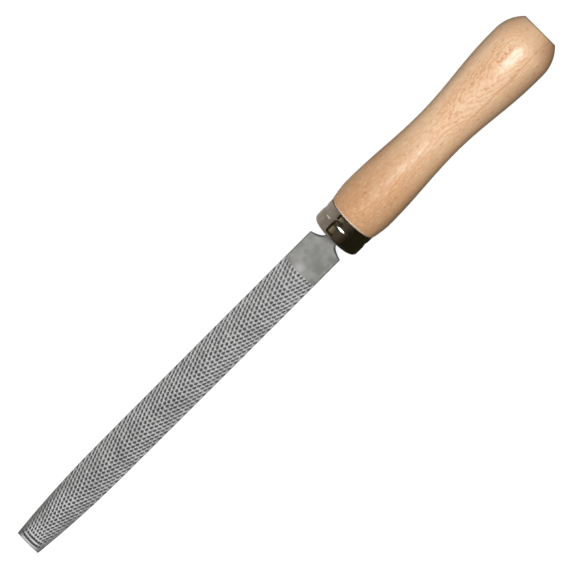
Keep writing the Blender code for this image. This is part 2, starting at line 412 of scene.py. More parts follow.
def burr_sheen(across, flank, tip_wear_and_light):
    """Return the painted highlight on the burrs at a place across the blade."""
    flank_sheen = FLANK_SHEEN if flank < 0 else FAR_FLANK_SHEEN
    gleam = tip_wear_and_light * (TIP_GLEAM - TIP_EDGE_LOSS * across ** 2)
    return blend(MIDDLE_SHEEN, flank_sheen, abs(flank)) * (1 + gleam)


def tooth_at(row, line, column, crowned, teeth):
    """Return height, shift along, shift across and sheen that a grid point gets from its tooth."""
    tip_wear_and_light = clamp((TIP_WEAR_AND_LIGHT_START - FIRST_ROW - ROW_PITCH * row) / TIP_WEAR_AND_LIGHT_LENGTH)
    tooth, place = divmod(column + HALF_CELL * (row % 2), CELL_STEPS)
    across = 2 * (tooth + 0.5 - 0.5 * (row % 2)) / TEETH_ACROSS - 1
    flank = flank_share(across) if crowned else 0.0
    sheen = burr_sheen(across, flank, tip_wear_and_light)
    if not row % 2 <= tooth < TEETH_ACROSS:
        return 0.0, 0.0, 0.0, sheen
    if (row, tooth) not in teeth:
        teeth[row, tooth] = tooth_variation(row)
    flank *= min(1.0, (row + 1) / UPRIGHT_ROWS)
    joined = row < JOINED_ROWS and abs(across) < JOINED_SHARE
    variation = teeth[row, tooth]
    height, shift_along, shift_across = tooth_shape(line, place - HALF_CELL, flank, joined, variation)
    beside = abs(2 * column / (TEETH_ACROSS * CELL_STEPS) - 1)
    height *= 1 + tip_wear_and_light * (TIP_DEPTH_GAIN - clamp((beside - WORN_EDGE_START) / WORN_EDGE_RUN))
    return height, shift_along, shift_across, sheen


print("rows:", ROW_COUNT, "from", round(FIRST_ROW / MM, 1), "to", round(LAST_ROW / MM, 1), "mm")

# %% [markdown]
# The two faces of the bar are grids. Their lines across are two for the cut end, the tooth rows' own
# lines, then a few for the heel, the hollow shoulders and the tang. Every grid point is set on the
# crown's arc or on the flat, and then pushed along the surface's own normal by the tooth that it belongs
# to. The end of the crown is ground back a little in the middle, as the tip's edge shows.

# %% Faces of the blade
TIP_SETBACK = 0.8 * MM
END_RIM_WIDTH = 0.45 * MM
# END_RIM is painted shade on the cut end's edge, END_SHEEN a painted highlight on the strip behind it.
END_RIM = 0.25
END_SHEEN = 0.34
HEEL_STEPS = 8
SHOULDER_STEPS = 14


def bar_lines():
    """Return (x, tooth row or None, line of the cell) for every line across the bar."""
    end_line = -BLADE_LENGTH + END_RIM_WIDTH
    plain = [-BLADE_LENGTH, end_line, blend(end_line + TIP_SETBACK, FIRST_ROW, 0.5)]
    lines = [(x, None, 0) for x in plain]
    for row in range(ROW_COUNT):
        for line, share in enumerate(PUNCH_LINES):
            lines.append((FIRST_ROW + ROW_PITCH * (row + share), row, line))
    plain = [LAST_ROW * (1 - step / HEEL_STEPS) for step in range(HEEL_STEPS)]
    for step in range(SHOULDER_STEPS + 1):
        plain.append(SHOULDER_RUN * (1 - math.cos(math.pi / 2 * step / SHOULDER_STEPS)))
    plain += [blend(SHOULDER_RUN, TANG_END, 0.5), TANG_END]
    return lines + [(x, None, 0) for x in plain]


def spot_on_face(x, across, shift_across, crowned):
    """Return a point of the face without its teeth, and the face's normal there."""
    half_width = bar_width(x) / 2
    bottom, crown = bar_heights(x)
    if not crowned:
        return Vector((x, across * half_width + shift_across, bottom)), Vector((0.0, 0.0, -1.0))
    angle = across * math.asin(half_width / CROWN_RADIUS) + shift_across / CROWN_RADIUS
    y = CROWN_RADIUS * math.sin(angle)
    return Vector((x, y, crown - crown_drop(y))), Vector((0.0, math.sin(angle), math.cos(angle)))


def shape_bar_face(bm, lines, crowned):
    """Make one long face of the bar, with its teeth, and return how many teeth it has."""
    columns = TEETH_ACROSS * CELL_STEPS
    grid = bmesh.ops.create_grid(bm, x_segments=len(lines) - 1, y_segments=columns, size=0.5)
    struck = bm.verts.layers.float["struck"]
    rim = bm.verts.layers.float["rim"]
    teeth = {}
    for vert in grid["verts"]:
        x, row, line = lines[round((vert.co.x + 0.5) * (len(lines) - 1))]
        column = round((vert.co.y + 0.5) * columns)
        across = 2 * column / columns - 1
        height, shift_along, shift_across, sheen = 0.0, 0.0, 0.0, 0.0
        # The strip at the cut end gets a painted highlight, fading towards its corners.
        if x < FIRST_ROW:
            sheen = END_SHEEN * (1 - across ** 2)
        if row is not None:
            height, shift_along, shift_across, sheen = tooth_at(row, line, column, crowned, teeth)
        spot, normal = spot_on_face(x, across, shift_across, crowned)
        # The cut end's edge gets painted shade through the rim.
        if crowned and x <= -BLADE_LENGTH + END_RIM_WIDTH:
            spot.x += TIP_SETBACK * (1 - across ** 2)
            vert[rim] = 1.0 if x == -BLADE_LENGTH else END_RIM
        vert.co = spot + normal * height + Vector((shift_along, 0.0, 0.0))
        # Raised points keep the sheen, the painted highlight, in place of their small height.
        vert[struck] = height / MM if height < 0 else max(height / MM, sheen)
    return len(teeth)


print("lines across the bar:", len(bar_lines()))

# %% [markdown]
# The open borders of the two grids are bridged into the thin edges of the bar, and those edges get a
# small bevel, because ground steel has no knife edge there. Two attributes are kept for the material: how
# deep each point was struck, which on raised metal carries the painted highlight of the burrs instead, and
# how close it is to the edges, where the material paints shade as a dark rim. That painted shade is wider
# along the tip's edges, and stronger there on the +y side.

# %% The blade's mesh
EDGE_ROUNDING = 0.12 * MM
RIM_WIDTH = 0.70 * MM
# Painted shade along the tip's edges: its width, its steepness and its strength on the +y and -y sides.
TIP_EDGE_SHADE_WIDTH = 3.2 * MM
TIP_EDGE_SHADE_STEEPNESS = 1.4
TIP_EDGE_SHADE = 0.76
FAR_TIP_EDGE_SHADE = 0.55
TOOTH_CREASE = 32


def mark_rim(bm):
    """Store how much painted shade each point gets near the bar's edges, more at the tip, from 0 to 1."""
    rim = bm.verts.layers.float["rim"]
    for vert in bm.verts:
        x = min(max(vert.co.x, -BLADE_LENGTH), TANG_END)
        inside = bar_width(x) / 2 - abs(vert.co.y)
        tip_wear_and_light = max(0.0, (TIP_WEAR_AND_LIGHT_START - x) / TIP_WEAR_AND_LIGHT_LENGTH)
        tip_wear_and_light *= clamp(TIP_EDGE_SHADE_STEEPNESS * (1 - inside / TIP_EDGE_SHADE_WIDTH))
        tip_wear_and_light *= TIP_EDGE_SHADE if vert.co.y > 0 else FAR_TIP_EDGE_SHADE
        vert[rim] = max(vert[rim], 1.0 - inside / RIM_WIDTH, tip_wear_and_light)


def make_blade():
    """Make the toothed bar with its heel, shoulders and tang."""
    bm = bmesh.new()
    bm.verts.layers.float.new("struck")
    bm.verts.layers.float.new("rim")
    lines = bar_lines()
    count = shape_bar_face(bm, lines, crowned=True) + shape_bar_face(bm, lines, crowned=False)
    rims = [edge for edge in bm.edges if edge.is_boundary]
    bmesh.ops.bridge_loops(bm, edges=rims)
    bmesh.ops.recalc_face_normals(bm, faces=bm.faces)
    rims = [edge for edge in rims if edge.is_valid]
    round_edges(bm, rims, EDGE_ROUNDING)
    mark_rim(bm)
    print("teeth:", count)
    return add_piece("toothed_blade", bm, "rasp_blade")


blade = make_blade()
shade(blade, TOOTH_CREASE)

# %% [markdown]
# The ferrule is drawn from sheet steel like a small cup: a rounded front edge, a mouth for the tang, and
# a groove rolled in to grip the wood. The handle is turned between centres. Both are bodies of
# revolution, so each is an outline of distance and radius that is spun about the tool's axis. The outline
# of the cup is used three times: for its outer skin, for its inner skin one wall further in, and for the
# wood inside. The roller leaves a groove that is round at the bottom with two sharp lips, and the bands
# beside it stay very slightly barrelled, which narrows their highlights.

# %% Outlines for turning
FERRULE_LENGTH = 11.1 * MM
FERRULE_DIAMETER = 23.7 * MM
FERRULE_WALL = 0.8 * MM
FERRULE_BEND_RADIUS = 1.2 * MM
FERRULE_MOUTH_DIAMETER = 14.0 * MM
FERRULE_BARREL = 0.03 * MM
GROOVE_POSITION = 7.15 * MM
GROOVE_WIDTH = 2.7 * MM
GROOVE_DEPTH = 0.245 * MM
BEND_STEPS = 10
BAND_STEPS = 6
GROOVE_STEPS = 30
TURNED_SEGMENTS = 160
WELD_DISTANCE = 0.0005 * MM


def band(start, end, radius):
    """Return a slightly barrelled band of the cup's wall."""
    points = []
    for step in range(1, BAND_STEPS):
        share = step / BAND_STEPS
        points.append((blend(start, end, share), radius + FERRULE_BARREL * math.sin(math.pi * share)))
    return points


def cup_outline(inset):
    """Return the cup's outline from its front bend to its rear rim, moved inwards by inset."""
    radius = FERRULE_DIAMETER / 2 - FERRULE_BARREL - inset
    outer_bend = FERRULE_BEND_RADIUS + FERRULE_WALL
    bend = outer_bend - inset
    points = []
    for step in range(BEND_STEPS + 1):
        angle = math.pi / 2 * step / BEND_STEPS
        points.append((outer_bend - bend * math.cos(angle), radius - bend + bend * math.sin(angle)))
    groove_start = GROOVE_POSITION - GROOVE_WIDTH / 2
    groove_end = GROOVE_POSITION + GROOVE_WIDTH / 2
    points += band(outer_bend, groove_start, radius)
    for step in range(GROOVE_STEPS + 1):
        share = step / GROOVE_STEPS
        dip = GROOVE_DEPTH * (1 - (2 * share - 1) ** 2)
        points.append((blend(groove_start, groove_end, share), radius - dip))
    points += band(groove_end, FERRULE_LENGTH, radius)
    points.append((FERRULE_LENGTH, radius))
    return points


def turn(outline, closed):
    """Spin an outline of (distance from the ferrule's front, radius) points about the tool's axis."""
    bm = bmesh.new()
    verts = [bm.verts.new((NECK_LENGTH + x, 0.0, radius)) for x, radius in outline]
    pairs = list(zip(verts, verts[1:]))
    if closed:
        pairs.append((verts[-1], verts[0]))
    edges = [bm.edges.new(pair) for pair in pairs]
    bmesh.ops.spin(bm, geom=verts + edges, cent=(0, 0, 0), axis=(1, 0, 0), angle=2 * math.pi,
                   steps=TURNED_SEGMENTS, use_merge=True)
    bmesh.ops.remove_doubles(bm, verts=bm.verts, dist=WELD_DISTANCE)
    bmesh.ops.recalc_face_normals(bm, faces=bm.faces)
    return bm


print("cup outline:", len(cup_outline(0.0)), "points")

# %% [markdown]
# The cup is the outer outline, the mouth, and the inner outline back again, spun as one closed ring. Its
# rear rim is cut square by the saw, and the small bevel on it catches a thin line of light next to the
# wood.

# %% Ferrule
RIM_ROUNDING = 0.04 * MM
SQUARE_CORNER = math.radians(60)
GROOVE_CREASE = 15


def make_ferrule():
    """Turn the drawn cup."""
    mouth = FERRULE_MOUTH_DIAMETER / 2
    outer = [(0.0, mouth)] + cup_outline(0.0)
    inner = cup_outline(FERRULE_WALL)[::-1] + [(FERRULE_WALL, mouth)]
    bm = turn(outer + inner, closed=True)
    corners = [edge for edge in bm.edges if edge.calc_face_angle() > SQUARE_CORNER]
    round_edges(bm, corners, RIM_ROUNDING)
    return add_piece("drawn_ferrule", bm, "ferrule")


ferrule = make_ferrule()
shade(ferrule, GROOVE_CREASE)

# %% [markdown]
# The handle's outline has a spigot under the ferrule, a small chamfer at the collar, a front swell, a
# waist for the fingers, a palm swell and a rounded butt with a flat on its end. Swells and waist flow
# into each other as cosine waves, which have no slope at the stations, as a turner's eye would make them.
# The butt is an arc that ends at the flat. Sanding takes a hair off all over.

# %% Outline of the handle
FIT_GAP = 0.3 * MM
COLLAR_DIAMETER = 24.0 * MM
COLLAR_CHAMFER = 0.5 * MM
FRONT_SWELL = (21.0 * MM, 26.2 * MM)
WAIST = (63.0 * MM, 22.2 * MM)
PALM_SWELL = (105.0 * MM, 27.5 * MM)
BUTT_ROUND_RADIUS = 16.0 * MM
BUTT_FLAT_DIAMETER = 17.0 * MM
SANDING = 0.02 * MM
RISE_STEPS = 14
SWELL_STEPS = 28
BUTT_STEPS = 16


def front_outline():
    """Return the spigot under the ferrule, the collar's chamfer and the rise to the front swell."""
    spigot = cup_outline(FERRULE_WALL + FIT_GAP)
    collar = FERRULE_LENGTH + FIT_GAP
    points = spigot[:-1] + [(collar, spigot[-1][1]), (collar, COLLAR_DIAMETER / 2 - COLLAR_CHAMFER)]
    for step in range(RISE_STEPS):
        share = step / RISE_STEPS
        diameter = blend(COLLAR_DIAMETER, FRONT_SWELL[1], math.sin(math.pi / 2 * share))
        points.append((blend(collar + COLLAR_CHAMFER, FRONT_SWELL[0], share), diameter / 2))
    return points


def wave_outline(start, end):
    """Return half a cosine wave from one (distance, diameter) station towards the next."""
    points = []
    for step in range(SWELL_STEPS):
        share = step / SWELL_STEPS
        wave = (1 - math.cos(math.pi * share)) / 2
        points.append((blend(start[0], end[0], share), blend(start[1], end[1], wave) / 2))
    return points


def butt_outline():
    """Return the palm swell's top and the arc that rounds the butt off to its flat."""
    points = [(PALM_SWELL[0], PALM_SWELL[1] / 2)]
    fall = (PALM_SWELL[1] - BUTT_FLAT_DIAMETER) / 2
    turn_angle = math.acos(1 - fall / BUTT_ROUND_RADIUS)
    centre = HANDLE_LENGTH - BUTT_ROUND_RADIUS * math.sin(turn_angle)
    for step in range(BUTT_STEPS + 1):
        angle = turn_angle * step / BUTT_STEPS
        radius = PALM_SWELL[1] / 2 - BUTT_ROUND_RADIUS * (1 - math.cos(angle))
        points.append((centre + BUTT_ROUND_RADIUS * math.sin(angle), radius))
    return points


def handle_outline():
    """Return the turned wood's outline from the spigot's front to the flat of the butt."""
    points = front_outline() + wave_outline(FRONT_SWELL, WAIST) + wave_outline(WAIST, PALM_SWELL)
    return [(x, radius - SANDING) for x, radius in points + butt_outline()]


print("handle outline:", len(handle_outline()), "points")

# %% [markdown]
# The tang is burnt or driven into a tapered socket. Here a plain tapered block, one gap larger than the
# tang, is cut out of the wood with a Boolean, so the wood is open where the steel goes in. The cut is
# made final at once, because the export and the sizes read the finished mesh.

# %% Handle
SOCKET_END_CLEARANCE = 2.0 * MM
COLLAR_CREASE = 35


def socket_cutter():
    """Return a cutter with the tang's taper, one gap larger all round and a little longer."""
    bm = bmesh.new()
    cube = bmesh.ops.create_cube(bm, size=2.0)
    for vert in cube["verts"]:
        x = 0.0 if vert.co.x < 0 else TANG_END + SOCKET_END_CLEARANCE
        share = tang_share(x)
        half_width = blend(NECK_WIDTH, TANG_END_WIDTH, share) / 2 + FIT_GAP
        half_height = blend(HEEL_THICKNESS, TANG_END_THICKNESS, share) / 2 + FIT_GAP
        vert.co = Vector((x, vert.co.y * half_width, vert.co.z * half_height))
    bmesh.ops.transform(bm, matrix=TOOL, verts=bm.verts)
    return add_object("socket_cutter", bm)


def make_handle():
    """Turn the wood and cut the tang's socket."""
    outline = handle_outline()
    bm = turn([(outline[0][0], 0.0)] + outline + [(HANDLE_LENGTH, 0.0)], closed=False)
    handle = add_piece("beech_handle", bm, "handle")
    cutter = socket_cutter()
    cut = handle.modifiers.new("tang_socket", "BOOLEAN")
    cut.operation = "DIFFERENCE"
    cut.solver = "EXACT"
    cut.object = cutter
    depsgraph = bpy.context.evaluated_depsgraph_get()
    drilled = bpy.data.meshes.new_from_object(handle.evaluated_get(depsgraph))
    handle.modifiers.clear()
    handle.data = drilled
    bpy.data.objects.remove(cutter)
    return handle


handle = make_handle()
shade(handle, COLLAR_CREASE)

# %% [markdown]
# The floor is a plain white sheet that turns up far behind the tool. White paper would throw so much
# light back that the tool's flanks lost their shade, so its own colour is a middle grey, and a glow that
# the camera sees makes it white. It still keeps a soft shadow. Polished steel sees the same sheet much
# darker and warmer, as a sheet in a dim room looks from the side.

# %% Floor
FLOOR_RADIUS = 1.6
FLOOR_SEGMENTS = 96
FLOOR_DROP = 0.2 * MM
COVE_HEIGHT = 0.9
COVE_ROUNDING = 0.5
COVE_STEPS = 10
PAPER_GREY = (0.30, 0.30, 0.30)
PAPER_IN_STEEL = (0.04, 0.035, 0.03)
GLOW_WHITE = (1.0, 1.0, 1.0)
GLOW_IN_STEEL = (1.0, 0.86, 0.75)
GLOW_STRENGTH = 0.82
GLOW_SIDE = (0.0, 0.3, 0.04, 0.6)


def white_paper():
    """Make the sheet's paper."""
    material, tree, shader = new_material("white_paper")
    path = wire(tree, "LightPath").outputs
    mirrored = path["Is Glossy Ray"]
    side = split_axes(tree, wire(tree, "TexCoord").outputs["Object"])["Y"]
    in_steel = both(tree, mirrored, ramp(tree, side, *GLOW_SIDE))
    seen = maths(tree, "MAXIMUM", path["Is Camera Ray"], in_steel)
    dress(tree, shader, {"Base Color": tint(tree, mirrored, PAPER_GREY, PAPER_IN_STEEL),
                         "Roughness": 0.9, "Specular IOR Level": 0.0,
                         "Emission Color": tint(tree, mirrored, GLOW_WHITE, GLOW_IN_STEEL),
                         "Emission Strength": both(tree, seen, GLOW_STRENGTH)})
    return material


def raise_border(bm, edges, height):
    """Pull border edges straight up into a wall."""
    wall = bmesh.ops.extrude_edge_only(bm, edges=edges)
    raised = [item for item in wall["geom"] if isinstance(item, bmesh.types.BMVert)]
    bmesh.ops.translate(bm, verts=raised, vec=(0.0, 0.0, height))


def make_floor():
    """Make a round sheet whose rim turns up into a wall."""
    bm = bmesh.new()
    bmesh.ops.create_circle(bm, cap_ends=True, radius=FLOOR_RADIUS, segments=FLOOR_SEGMENTS)
    raise_border(bm, [edge for edge in bm.edges if edge.is_boundary], COVE_HEIGHT)
    inner = [edge for edge in bm.edges if len(edge.link_faces) == 2]
    corner = [edge for edge in inner if edge.calc_face_angle() > SQUARE_CORNER]
    round_edges(bm, corner, COVE_ROUNDING, COVE_STEPS)
    bmesh.ops.translate(bm, verts=bm.verts, vec=(0.0, 0.0, -FLOOR_DROP))
    floor = add_object("white_sheet", bm)
    floor.data.shade_smooth()
    floor.data.materials.append(white_paper())
    return floor


floor = make_floor()
print("floor radius:", FLOOR_RADIUS, "m")

# %% [markdown]
# One wide lamp stands at the camera, as a flash does, so shadows hide behind the tool and the highlights
# lie along the middle of the handle. Its light falls off with distance, so a weak sun from the same side,
# which stands for the light of the sky, makes the far tip as bright as the handle. Reflections leave this
# sun out, or the ferrule would show it as a second flash.

# %% Light
FLASH_POWER = 1.9
FLASH_SIZE = (0.36, 0.20)
SKY_POWER = 1.75
SKY_SPREAD = math.radians(40.0)


def add_lamp(name, kind, power, place):
    """Put a lamp into the scene."""
    lamp = bpy.data.objects.new(name, bpy.data.lights.new(name, kind))
    lamp.data.energy = power
    lamp.matrix_world = place
    bpy.context.scene.collection.objects.link(lamp)
    return lamp


def flash_matrix():
    """Return the flash's place: at the camera, with its long side across the tool."""
    back = camera.matrix_world.col[2].to_3d()
    place = Matrix((sideways, back.cross(sideways), back)).transposed().to_4x4()
    place.translation = camera.matrix_world.translation
    return place


flash = add_lamp("flash", "AREA", FLASH_POWER, flash_matrix())
flash.data.shape = "ELLIPSE"
flash.data.size, flash.data.size_y = FLASH_SIZE
sky_light = add_lamp("sky_light", "SUN", SKY_POWER, camera.matrix_world)
sky_light.data.angle = SKY_SPREAD
sky_light.visible_glossy = False
print("lamps:", flash.name, FLASH_SIZE, "m,", sky_light.name)

# %% [markdown]
# The ferrule mirrors the room as bands along its length, so the room is a few tones set by the angle
# about the tool's axis: dark below, warm overhead, black beside that, and a pale wall on the left. The
# band overhead is broken, because only a narrow window lights the ceiling there. It shows as a small
# bright patch on each side of the groove. An image of a room could do the same, but a handful of named
# tones is easier to adjust.

# %% Room
ROOM_BLACK = (0.035, 0.028, 0.013)
ROOM_DIM = (0.14, 0.11, 0.075)
ROOM_WARM = (0.32, 0.275, 0.175)
ROOM_BRIGHT = (0.52, 0.45, 0.28)
ROOM_PALE = (0.44, 0.385, 0.325)
ROOM_START = -60.0
ROOM_END = 180.0
ROOM_STOPS = ((-45.0, ROOM_BLACK), (-10.0, ROOM_DIM), (12.0, ROOM_DIM), (24.0, ROOM_WARM),
              (35.0, ROOM_BRIGHT), (39.0, ROOM_BLACK), (47.0, ROOM_BLACK), (51.0, ROOM_PALE))
WINDOW_FRONT = (-0.302, -0.282)
WINDOW_REAR = (-0.188, -0.208)
OVERHEAD_START = (math.radians(4.0), math.radians(14.0))
OVERHEAD_END = (math.radians(46.0), math.radians(42.0))
CEILING_SHADE = 0.85


def room_tones(tree, angle):
    """Return the room's tone for an angle about the tool's axis."""
    turned = maths(tree, "SUBTRACT", angle, math.radians(ROOM_START))
    share = maths(tree, "DIVIDE", turned, math.radians(ROOM_END - ROOM_START))
    tones = wire(tree, "ValToRGB", {0: share})
    stops = tones.color_ramp.elements
    while len(stops) < len(ROOM_STOPS):
        stops.new(1.0)
    for stop, (degrees, tone) in zip(stops, ROOM_STOPS):
        stop.position = (degrees - ROOM_START) / (ROOM_END - ROOM_START)
        stop.color = (*tone, 1.0)
    return tones.outputs[0]


def make_room():
    """Make the dim room, with the dark of the ceiling on both sides of the window."""
    world = bpy.data.worlds.new("room")
    world.use_nodes = True
    bpy.context.scene.world = world
    tree = world.node_tree
    direction = split_axes(tree, wire(tree, "TexCoord").outputs["Generated"])
    angle = maths(tree, "ARCTAN2", direction["Y"], direction["Z"])
    window = both(tree, ramp(tree, direction["X"], *WINDOW_FRONT), ramp(tree, direction["X"], *WINDOW_REAR))
    overhead = both(tree, ramp(tree, angle, *OVERHEAD_START), ramp(tree, angle, *OVERHEAD_END))
    ceiling = both(tree, overhead, maths(tree, "SUBTRACT", 1.0, window))
    tone = paint(tree, room_tones(tree, angle), ROOM_BLACK, ceiling, CEILING_SHADE)
    fill(tree, tree.nodes["Background"].inputs["Color"], tone)


make_room()
print("room tones:", len(ROOM_STOPS))

# %% [markdown]
# Polished steel shows whatever stands round it, so a photographer sets cards beside it. Here a black card
# lies and stands to the right of the ferrule and the handle, a grey one lies on the left, and a small
# white one stands further out, which the groove gathers into one pale streak. Only reflections see them.

# %% Cards for the reflections
BLACK = (0.030, 0.026, 0.012)
GREY = (0.58, 0.51, 0.45)
WHITE = (1.3, 1.2, 1.12)
CARD_LIFT = 0.5 * MM


def card_paper(name, tone):
    """Make a card of one even tone that no light changes."""
    material, tree, shader = new_material(name)
    dress(tree, shader, {"Base Color": (0.0, 0.0, 0.0, 1.0), "Specular IOR Level": 0.0,
                         "Emission Color": (*tone, 1.0), "Emission Strength": 1.0})
    return material


def make_card(name, tone, front, rear, near, far, height):
    """Lay a card beside the tool, and bend it up by height at its far edge."""
    bm = bmesh.new()
    bmesh.ops.create_grid(bm, x_segments=1, y_segments=1, size=0.5)
    bmesh.ops.scale(bm, vec=(rear - front, abs(far - near), 1.0), verts=bm.verts)
    bmesh.ops.translate(bm, vec=((front + rear) / 2, (near + far) / 2, CARD_LIFT), verts=bm.verts)
    far_edge = [edge for edge in bm.edges if all(abs(vert.co.y - far) < MM for vert in edge.verts)]
    raise_border(bm, far_edge, height)
    card = add_object(name, bm)
    card.data.materials.append(card_paper(name, tone))
    card.visible_camera = False
    card.visible_diffuse = False
    card.visible_shadow = False
    return card


cards = [make_card("black_card_right", BLACK, front=-0.08, rear=0.20, near=-0.016, far=-0.12, height=0.1),
         make_card("grey_card_left", GREY, front=-0.06, rear=0.075, near=0.012, far=0.20, height=0.01),
         make_card("white_card_left", WHITE, front=0.062, rear=0.15, near=0.24, far=0.25, height=0.11)]
print("cards:", [card.name for card in cards])

# %% [markdown]
# Two of the surfaces are bare steel, and bare steel is never one even grey: it has soft blotches from the
# quench and from fingers, and a fine grain from the belt. That effect is a node group with its own
# scales, so that both pieces share it with their own values.

# %% Steel mottle group
MOTTLE_SOCKETS = (("Point", "INPUT", "NodeSocketVector"), ("Blotch Scale", "INPUT", "NodeSocketFloat"),
                  ("Grain Scale", "INPUT", "NodeSocketFloat"), ("Blotch", "OUTPUT", "NodeSocketFloat"),
                  ("Grain", "OUTPUT", "NodeSocketFloat"))
BELT_STRETCH = (1.0, 0.12, 1.0)
BLOTCH_RANGE = (0.35, 0.65)
GRAIN_RANGE = (0.3, 0.7)


def steel_mottle_group():
    """Build the group: a mask of soft blotches and a mask of fine grain."""
    group = bpy.data.node_groups.new("steel_mottle", "ShaderNodeTree")
    for name, in_out, kind in MOTTLE_SOCKETS:
        group.interface.new_socket(name=name, in_out=in_out, socket_type=kind)
    inlet = group.nodes.new("NodeGroupInput").outputs
    outlet = group.nodes.new("NodeGroupOutput").inputs
    inputs = {"Vector": inlet["Point"], "Scale": inlet["Blotch Scale"], "Detail": 4.0, "Roughness": 0.6}
    blotch = wire(group, "TexNoise", inputs).outputs[0]
    streaked = wire(group, "Mapping", {"Vector": inlet["Point"], "Scale": BELT_STRETCH}).outputs[0]
    inputs = {"Vector": streaked, "Scale": inlet["Grain Scale"], "Detail": 3.0}
    grain = wire(group, "TexNoise", inputs).outputs[0]
    fill(group, outlet["Blotch"], ramp(group, blotch, *BLOTCH_RANGE))
    fill(group, outlet["Grain"], ramp(group, grain, *GRAIN_RANGE))
    return group


def mottled_steel(tree, point, blotch_scale, grain_scale):
    """Place the group in a material and return its masks."""
    inputs = {"Point": point, "Blotch Scale": blotch_scale, "Grain Scale": grain_scale}
    return wire(tree, "Group", node_tree=mottle, inputs=inputs).outputs


mottle = steel_mottle_group()
print("group:", mottle.name)

# %% [markdown]
# The blade is hardened steel with a grey, matte skin. The floor of each pit is darkened with painted
# shade, the crests of the burrs carry a painted highlight, brightest at the tip, and the heel is even with
# faint blotches and one paler patch of painted highlight by the last row. The edges are darkened with
# painted shade. The two attributes that the mesh carries tell the pits, the burrs and the edges apart.

# %% Blade finish
SKIN_DARK = (0.265, 0.269, 0.260)
SKIN_LIGHT = (0.39, 0.394, 0.385)
GRAIN_GREY = (0.25, 0.25, 0.25)
HEEL_HIGHLIGHT_GREY = (0.55, 0.55, 0.56)
BURR_HIGHLIGHT_DARK = (0.615, 0.623, 0.66)
BURR_HIGHLIGHT_LIGHT = (0.70, 0.71, 0.745)
TIP_BURR_HIGHLIGHT = (0.80, 0.81, 0.84)
PIT_SHADE_BLACK = (0.080, 0.080, 0.086)
RIM_SHADE_BLACK = (0.05, 0.05, 0.05)
HEEL_HIGHLIGHT_PATCH = (-14.0 * MM, 1.2 * MM, 2.5 * MM)
HEEL_HIGHLIGHT_REACH = (4.5 * MM, 1.0 * MM)
HEEL_HIGHLIGHT_RAGGED = 1.5 * MM
BURR_SHEEN = (0.05, 0.30)
TIP_SHEEN = (0.30, 0.45)
PIT_DEPTH = (-0.05, -0.22)
SKIN_ROUGHNESS = (0.60, 0.70)
GRAIN_BUMP = 0.08


def steel_skin(tree, point, mottled):
    """Return the colour of the plain, matte skin, with a painted highlight by the heel's last row."""
    skin = tint(tree, mottled["Blotch"], SKIN_DARK, SKIN_LIGHT)
    skin = paint(tree, skin, GRAIN_GREY, mottled["Grain"], strength=0.12)
    away = wire(tree, "VectorMath", {0: point, 1: HEEL_HIGHLIGHT_PATCH}, operation="DISTANCE").outputs["Value"]
    away = maths(tree, "ADD", away, both(tree, mottled["Blotch"], HEEL_HIGHLIGHT_RAGGED))
    # A painted highlight: a paler, ragged patch on the heel by the last row.
    return paint(tree, skin, HEEL_HIGHLIGHT_GREY, ramp(tree, away, *HEEL_HIGHLIGHT_REACH), strength=0.8)


def blade_steel():
    """Make the blade's matte steel."""
    material, tree, shader = new_material("matte_hardened_steel")
    point = tool_place(tree)
    mottled = mottled_steel(tree, point, blotch_scale=160.0, grain_scale=2600.0)
    struck = wire(tree, "Attribute", attribute_name="struck").outputs["Fac"]
    rim = wire(tree, "Attribute", attribute_name="rim").outputs["Fac"]
    burr_highlight = tint(tree, mottled["Blotch"], BURR_HIGHLIGHT_DARK, BURR_HIGHLIGHT_LIGHT)
    # Painted highlight on the burrs' crests, brighter still at the tip.
    tone = paint(tree, steel_skin(tree, point, mottled), burr_highlight, ramp(tree, struck, *BURR_SHEEN))
    tone = paint(tree, tone, TIP_BURR_HIGHLIGHT, ramp(tree, struck, *TIP_SHEEN))
    # Painted shade darkens the floor of each pit.
    tone = paint(tree, tone, PIT_SHADE_BLACK, ramp(tree, struck, *PIT_DEPTH))
    # Painted shade darkens the rim along the edges.
    tone = paint(tree, tone, RIM_SHADE_BLACK, rim, strength=0.75)
    dress(tree, shader, {"Base Color": tone, "Metallic": 0.25, "Diffuse Roughness": 1.0,
                         "Roughness": ramp(tree, mottled["Blotch"], 0.0, 1.0, *SKIN_ROUGHNESS),
                         "Normal": rough_height(tree, mottled["Grain"], GRAIN_BUMP)})
    return material


blade.data.materials.append(blade_steel())
print("blade:", blade.data.materials[0].name)

# %% [markdown]
# The ferrule is the same kind of steel, drawn and polished to a dark mirror with faint tarnish. The
# roller has left the groove a little less smooth than the rest, so its reflections are softer there.

# %% Ferrule finish
TARNISH_DARK = (0.34, 0.32, 0.29)
TARNISH_LIGHT = (0.42, 0.40, 0.37)
GROOVE_FADE = 0.4 * MM
POLISHED_ROUGHNESS = (0.05, 0.08)
ROLLED_ROUGHNESS = 0.07


def ferrule_steel():
    """Make the ferrule's polished steel."""
    material, tree, shader = new_material("polished_drawn_steel")
    point = tool_place(tree)
    mottled = mottled_steel(tree, point, blotch_scale=240.0, grain_scale=1800.0)
    past_groove = maths(tree, "SUBTRACT", split_axes(tree, point)["X"], NECK_LENGTH + GROOVE_POSITION)
    past_groove = maths(tree, "ABSOLUTE", past_groove)
    rolled = ramp(tree, past_groove, GROOVE_WIDTH / 2, GROOVE_WIDTH / 2 - GROOVE_FADE)
    polish = ramp(tree, mottled["Blotch"], 0.0, 1.0, *POLISHED_ROUGHNESS)
    polish = maths(tree, "ADD", polish, both(tree, rolled, ROLLED_ROUGHNESS))
    dress(tree, shader, {"Base Color": tint(tree, mottled["Blotch"], TARNISH_DARK, TARNISH_LIGHT),
                         "Metallic": 1.0, "Roughness": polish})
    return material


ferrule.data.materials.append(ferrule_steel())
print("ferrule:", ferrule.data.materials[0].name)

